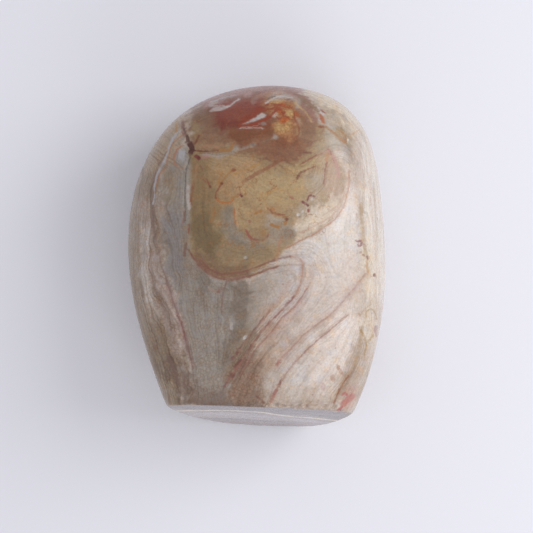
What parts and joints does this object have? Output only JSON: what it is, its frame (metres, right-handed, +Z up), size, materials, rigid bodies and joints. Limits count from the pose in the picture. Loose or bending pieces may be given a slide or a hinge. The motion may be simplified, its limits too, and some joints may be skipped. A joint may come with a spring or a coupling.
{
  "type": "jasper stone",
  "caption": "Polished freeform of banded jasper with a red cap, an ochre patch, rusty veins and a flat sawn base, lying on its back.",
  "frame": {"origin": "centre of the bounding box's underside, on the surface that the stone lies on", "axes": "+X to the right as one looks at the front of the stone, +Y from the sawn base towards the rounded red crown, +Z up out of the front"},
  "size_m": [0.0758, 0.103, 0.0552],
  "materials": {
    "jasper": "polished"
  },
  "bodies": {
    "root": {"jasper_stone": "jasper"}
  },
  "joints": []
}
